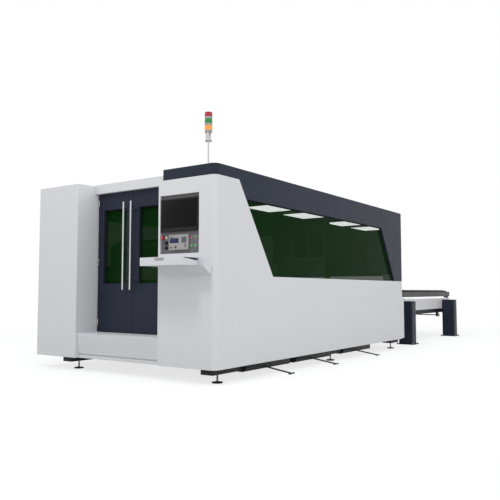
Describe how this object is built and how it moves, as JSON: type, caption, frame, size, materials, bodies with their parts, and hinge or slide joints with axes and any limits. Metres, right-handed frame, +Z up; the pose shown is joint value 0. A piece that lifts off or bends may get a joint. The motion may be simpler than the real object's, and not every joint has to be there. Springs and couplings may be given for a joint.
{
  "type": "fiber laser cutting machine",
  "caption": "Enclosed sheet metal laser cutter with front doors, operator console, gantry head, scrap drawers and a two-level pallet exchange table.",
  "frame": {"origin": "centre of the overall box, on the floor", "axes": "+Z up, -Y out of the door end, +X out of the right-hand side with the pod"},
  "size_m": [3.27, 9.51, 2.8847],
  "materials": {
    "amber_plastic": "amber",
    "black_steel": "black painted steel",
    "bright_steel": "bright steel",
    "console_grey": "satin dark grey console plate",
    "green_laser_glass": "dark green laser protection glass",
    "green_plastic": "green",
    "grey_steel": "grey painted steel",
    "lamp_diffuser": "white diffuser",
    "navy_enamel": "dark navy enamel",
    "red_plastic": "red",
    "screen_black": "black screen",
    "silver_plastic": "silver housing",
    "white_enamel": "light grey-white textured enamel"
  },
  "bodies": {
    "machine": {"amber_lens": "amber_plastic", "beacon_mast": "bright_steel", "bed_frame": "grey_steel", "console_fascia": "console_grey", "door_frame": "white_enamel", "front_left_foot": "black_steel", "front_right_foot": "black_steel", "green_lens": "green_plastic", "height_control_unit": "silver_plastic", "kick_plate": "white_enamel", "left_cabinet": "white_enamel", "left_far_post": "navy_enamel", "left_gantry_rail": "bright_steel", "left_near_post": "navy_enamel", "left_side_panel": "white_enamel", "left_window": "green_laser_glass", "middle_left_foot": "black_steel", "middle_right_foot": "black_steel", "monitor": "screen_black", "operator_pod": "white_enamel", "rear_left_foot": "black_steel", "rear_right_foot": "black_steel", "rear_wall": "white_enamel", "red_lens": "red_plastic", "right_far_post": "navy_enamel", "right_gantry_rail": "bright_steel", "right_near_post": "navy_enamel", "right_side_panel": "white_enamel", "right_window": "green_laser_glass", "roof_hood": "navy_enamel", "shelf_bracket": "white_enamel", "shelf_sleeve": "white_enamel", "table_base": "black_steel", "work_lamps": "lamp_diffuser"},
    "left_door_leaf": {"left_door": "navy_enamel", "left_door_glass": "green_laser_glass", "left_pull_bar": "bright_steel"},
    "right_door_leaf": {"right_door": "navy_enamel", "right_door_glass": "green_laser_glass", "right_pull_bar": "bright_steel"},
    "gantry": {"gantry_beam": "white_enamel"},
    "carriage": {"cross_carriage": "grey_steel"},
    "head": {"cutting_head": "silver_plastic", "head_slide": "grey_steel"},
    "lift": {"lift_frame": "white_enamel"},
    "upper_shuttle": {"upper_pallet": "black_steel"},
    "lower_shuttle": {"lower_pallet": "black_steel"},
    "drawer_1": {"scrap_drawer_1": "black_steel"},
    "drawer_2": {"scrap_drawer_2": "black_steel"},
    "drawer_3": {"scrap_drawer_3": "black_steel"},
    "tray": {"keyboard_tray": "white_enamel"},
    "emergency_stop_cap": {"emergency_stop": "red_plastic"},
    "key_lock": {"key_switch": "bright_steel"},
    "upper_knob": {"upper_selector": "black_steel"},
    "lower_knob": {"lower_selector": "black_steel"},
    "stop_cap": {"stop_button": "red_plastic"},
    "start_cap": {"start_button": "green_plastic"},
    "table_out_cap": {"table_out_button": "green_plastic"},
    "table_in_cap": {"table_in_button": "green_plastic"}
  },
  "joints": [
    {"name": "left_door_hinge", "type": "hinge", "parent": "machine", "child": "left_door_leaf", "pos_m": [-0.814, -4.193, 1.333], "axis": [0, 0, 1], "range_deg": [-90, 0]},
    {"name": "right_door_hinge", "type": "hinge", "parent": "machine", "child": "right_door_leaf", "pos_m": [0.381, -4.193, 1.333], "axis": [0, 0, 1], "range_deg": [0, 85]},
    {"name": "gantry_travel", "type": "slide", "parent": "machine", "child": "gantry", "axis": [0, 1, 0], "range_m": [0, 3.3]},
    {"name": "carriage_travel", "type": "slide", "parent": "gantry", "child": "carriage", "axis": [-1, 0, 0], "range_m": [0, 1.7]},
    {"name": "head_travel", "type": "slide", "parent": "carriage", "child": "head", "axis": [0, 0, 1], "range_m": [-0.2, 0]},
    {"name": "table_lift", "type": "slide", "parent": "machine", "child": "lift", "axis": [0, 0, 1], "range_m": [0, 0.2]},
    {"name": "upper_pallet_travel", "type": "slide", "parent": "lift", "child": "upper_shuttle", "axis": [0, -1, 0], "range_m": [0, 4.1]},
    {"name": "lower_pallet_travel", "type": "slide", "parent": "lift", "child": "lower_shuttle", "axis": [0, -1, 0], "range_m": [0, 4.1]},
    {"name": "drawer_1_slide", "type": "slide", "parent": "machine", "child": "drawer_1", "axis": [1, 0, 0], "range_m": [0, 0.9]},
    {"name": "drawer_2_slide", "type": "slide", "parent": "machine", "child": "drawer_2", "axis": [1, 0, 0], "range_m": [0, 0.9]},
    {"name": "drawer_3_slide", "type": "slide", "parent": "machine", "child": "drawer_3", "axis": [1, 0, 0], "range_m": [0, 0.9]},
    {"name": "tray_slide", "type": "slide", "parent": "machine", "child": "tray", "axis": [0, -1, 0], "range_m": [0, 0.2]},
    {"name": "emergency_stop_press", "type": "slide", "parent": "machine", "child": "emergency_stop_cap", "axis": [0, 1, 0], "range_m": [0, 0.004], "stiffness_N_per_m": 500},
    {"name": "key_turn", "type": "hinge", "parent": "machine", "child": "key_lock", "pos_m": [0.585, -4.4603, 1.54598], "axis": [0, 1, 0], "range_deg": [0, 90]},
    {"name": "upper_selector_turn", "type": "hinge", "parent": "machine", "child": "upper_knob", "pos_m": [0.585, -4.4603, 1.48909], "axis": [0, 1, 0], "range_deg": [-45, 45]},
    {"name": "lower_selector_turn", "type": "hinge", "parent": "machine", "child": "lower_knob", "pos_m": [0.585, -4.4603, 1.43507], "axis": [0, 1, 0], "range_deg": [-45, 45]},
    {"name": "stop_press", "type": "slide", "parent": "machine", "child": "stop_cap", "axis": [0, 1, 0], "range_m": [0, 0.004], "stiffness_N_per_m": 500},
    {"name": "start_press", "type": "slide", "parent": "machine", "child": "start_cap", "axis": [0, 1, 0], "range_m": [0, 0.004], "stiffness_N_per_m": 500},
    {"name": "table_out_press", "type": "slide", "parent": "machine", "child": "table_out_cap", "axis": [0, 1, 0], "range_m": [0, 0.004], "stiffness_N_per_m": 500},
    {"name": "table_in_press", "type": "slide", "parent": "machine", "child": "table_in_cap", "axis": [0, 1, 0], "range_m": [0, 0.004], "stiffness_N_per_m": 500}
  ]
}
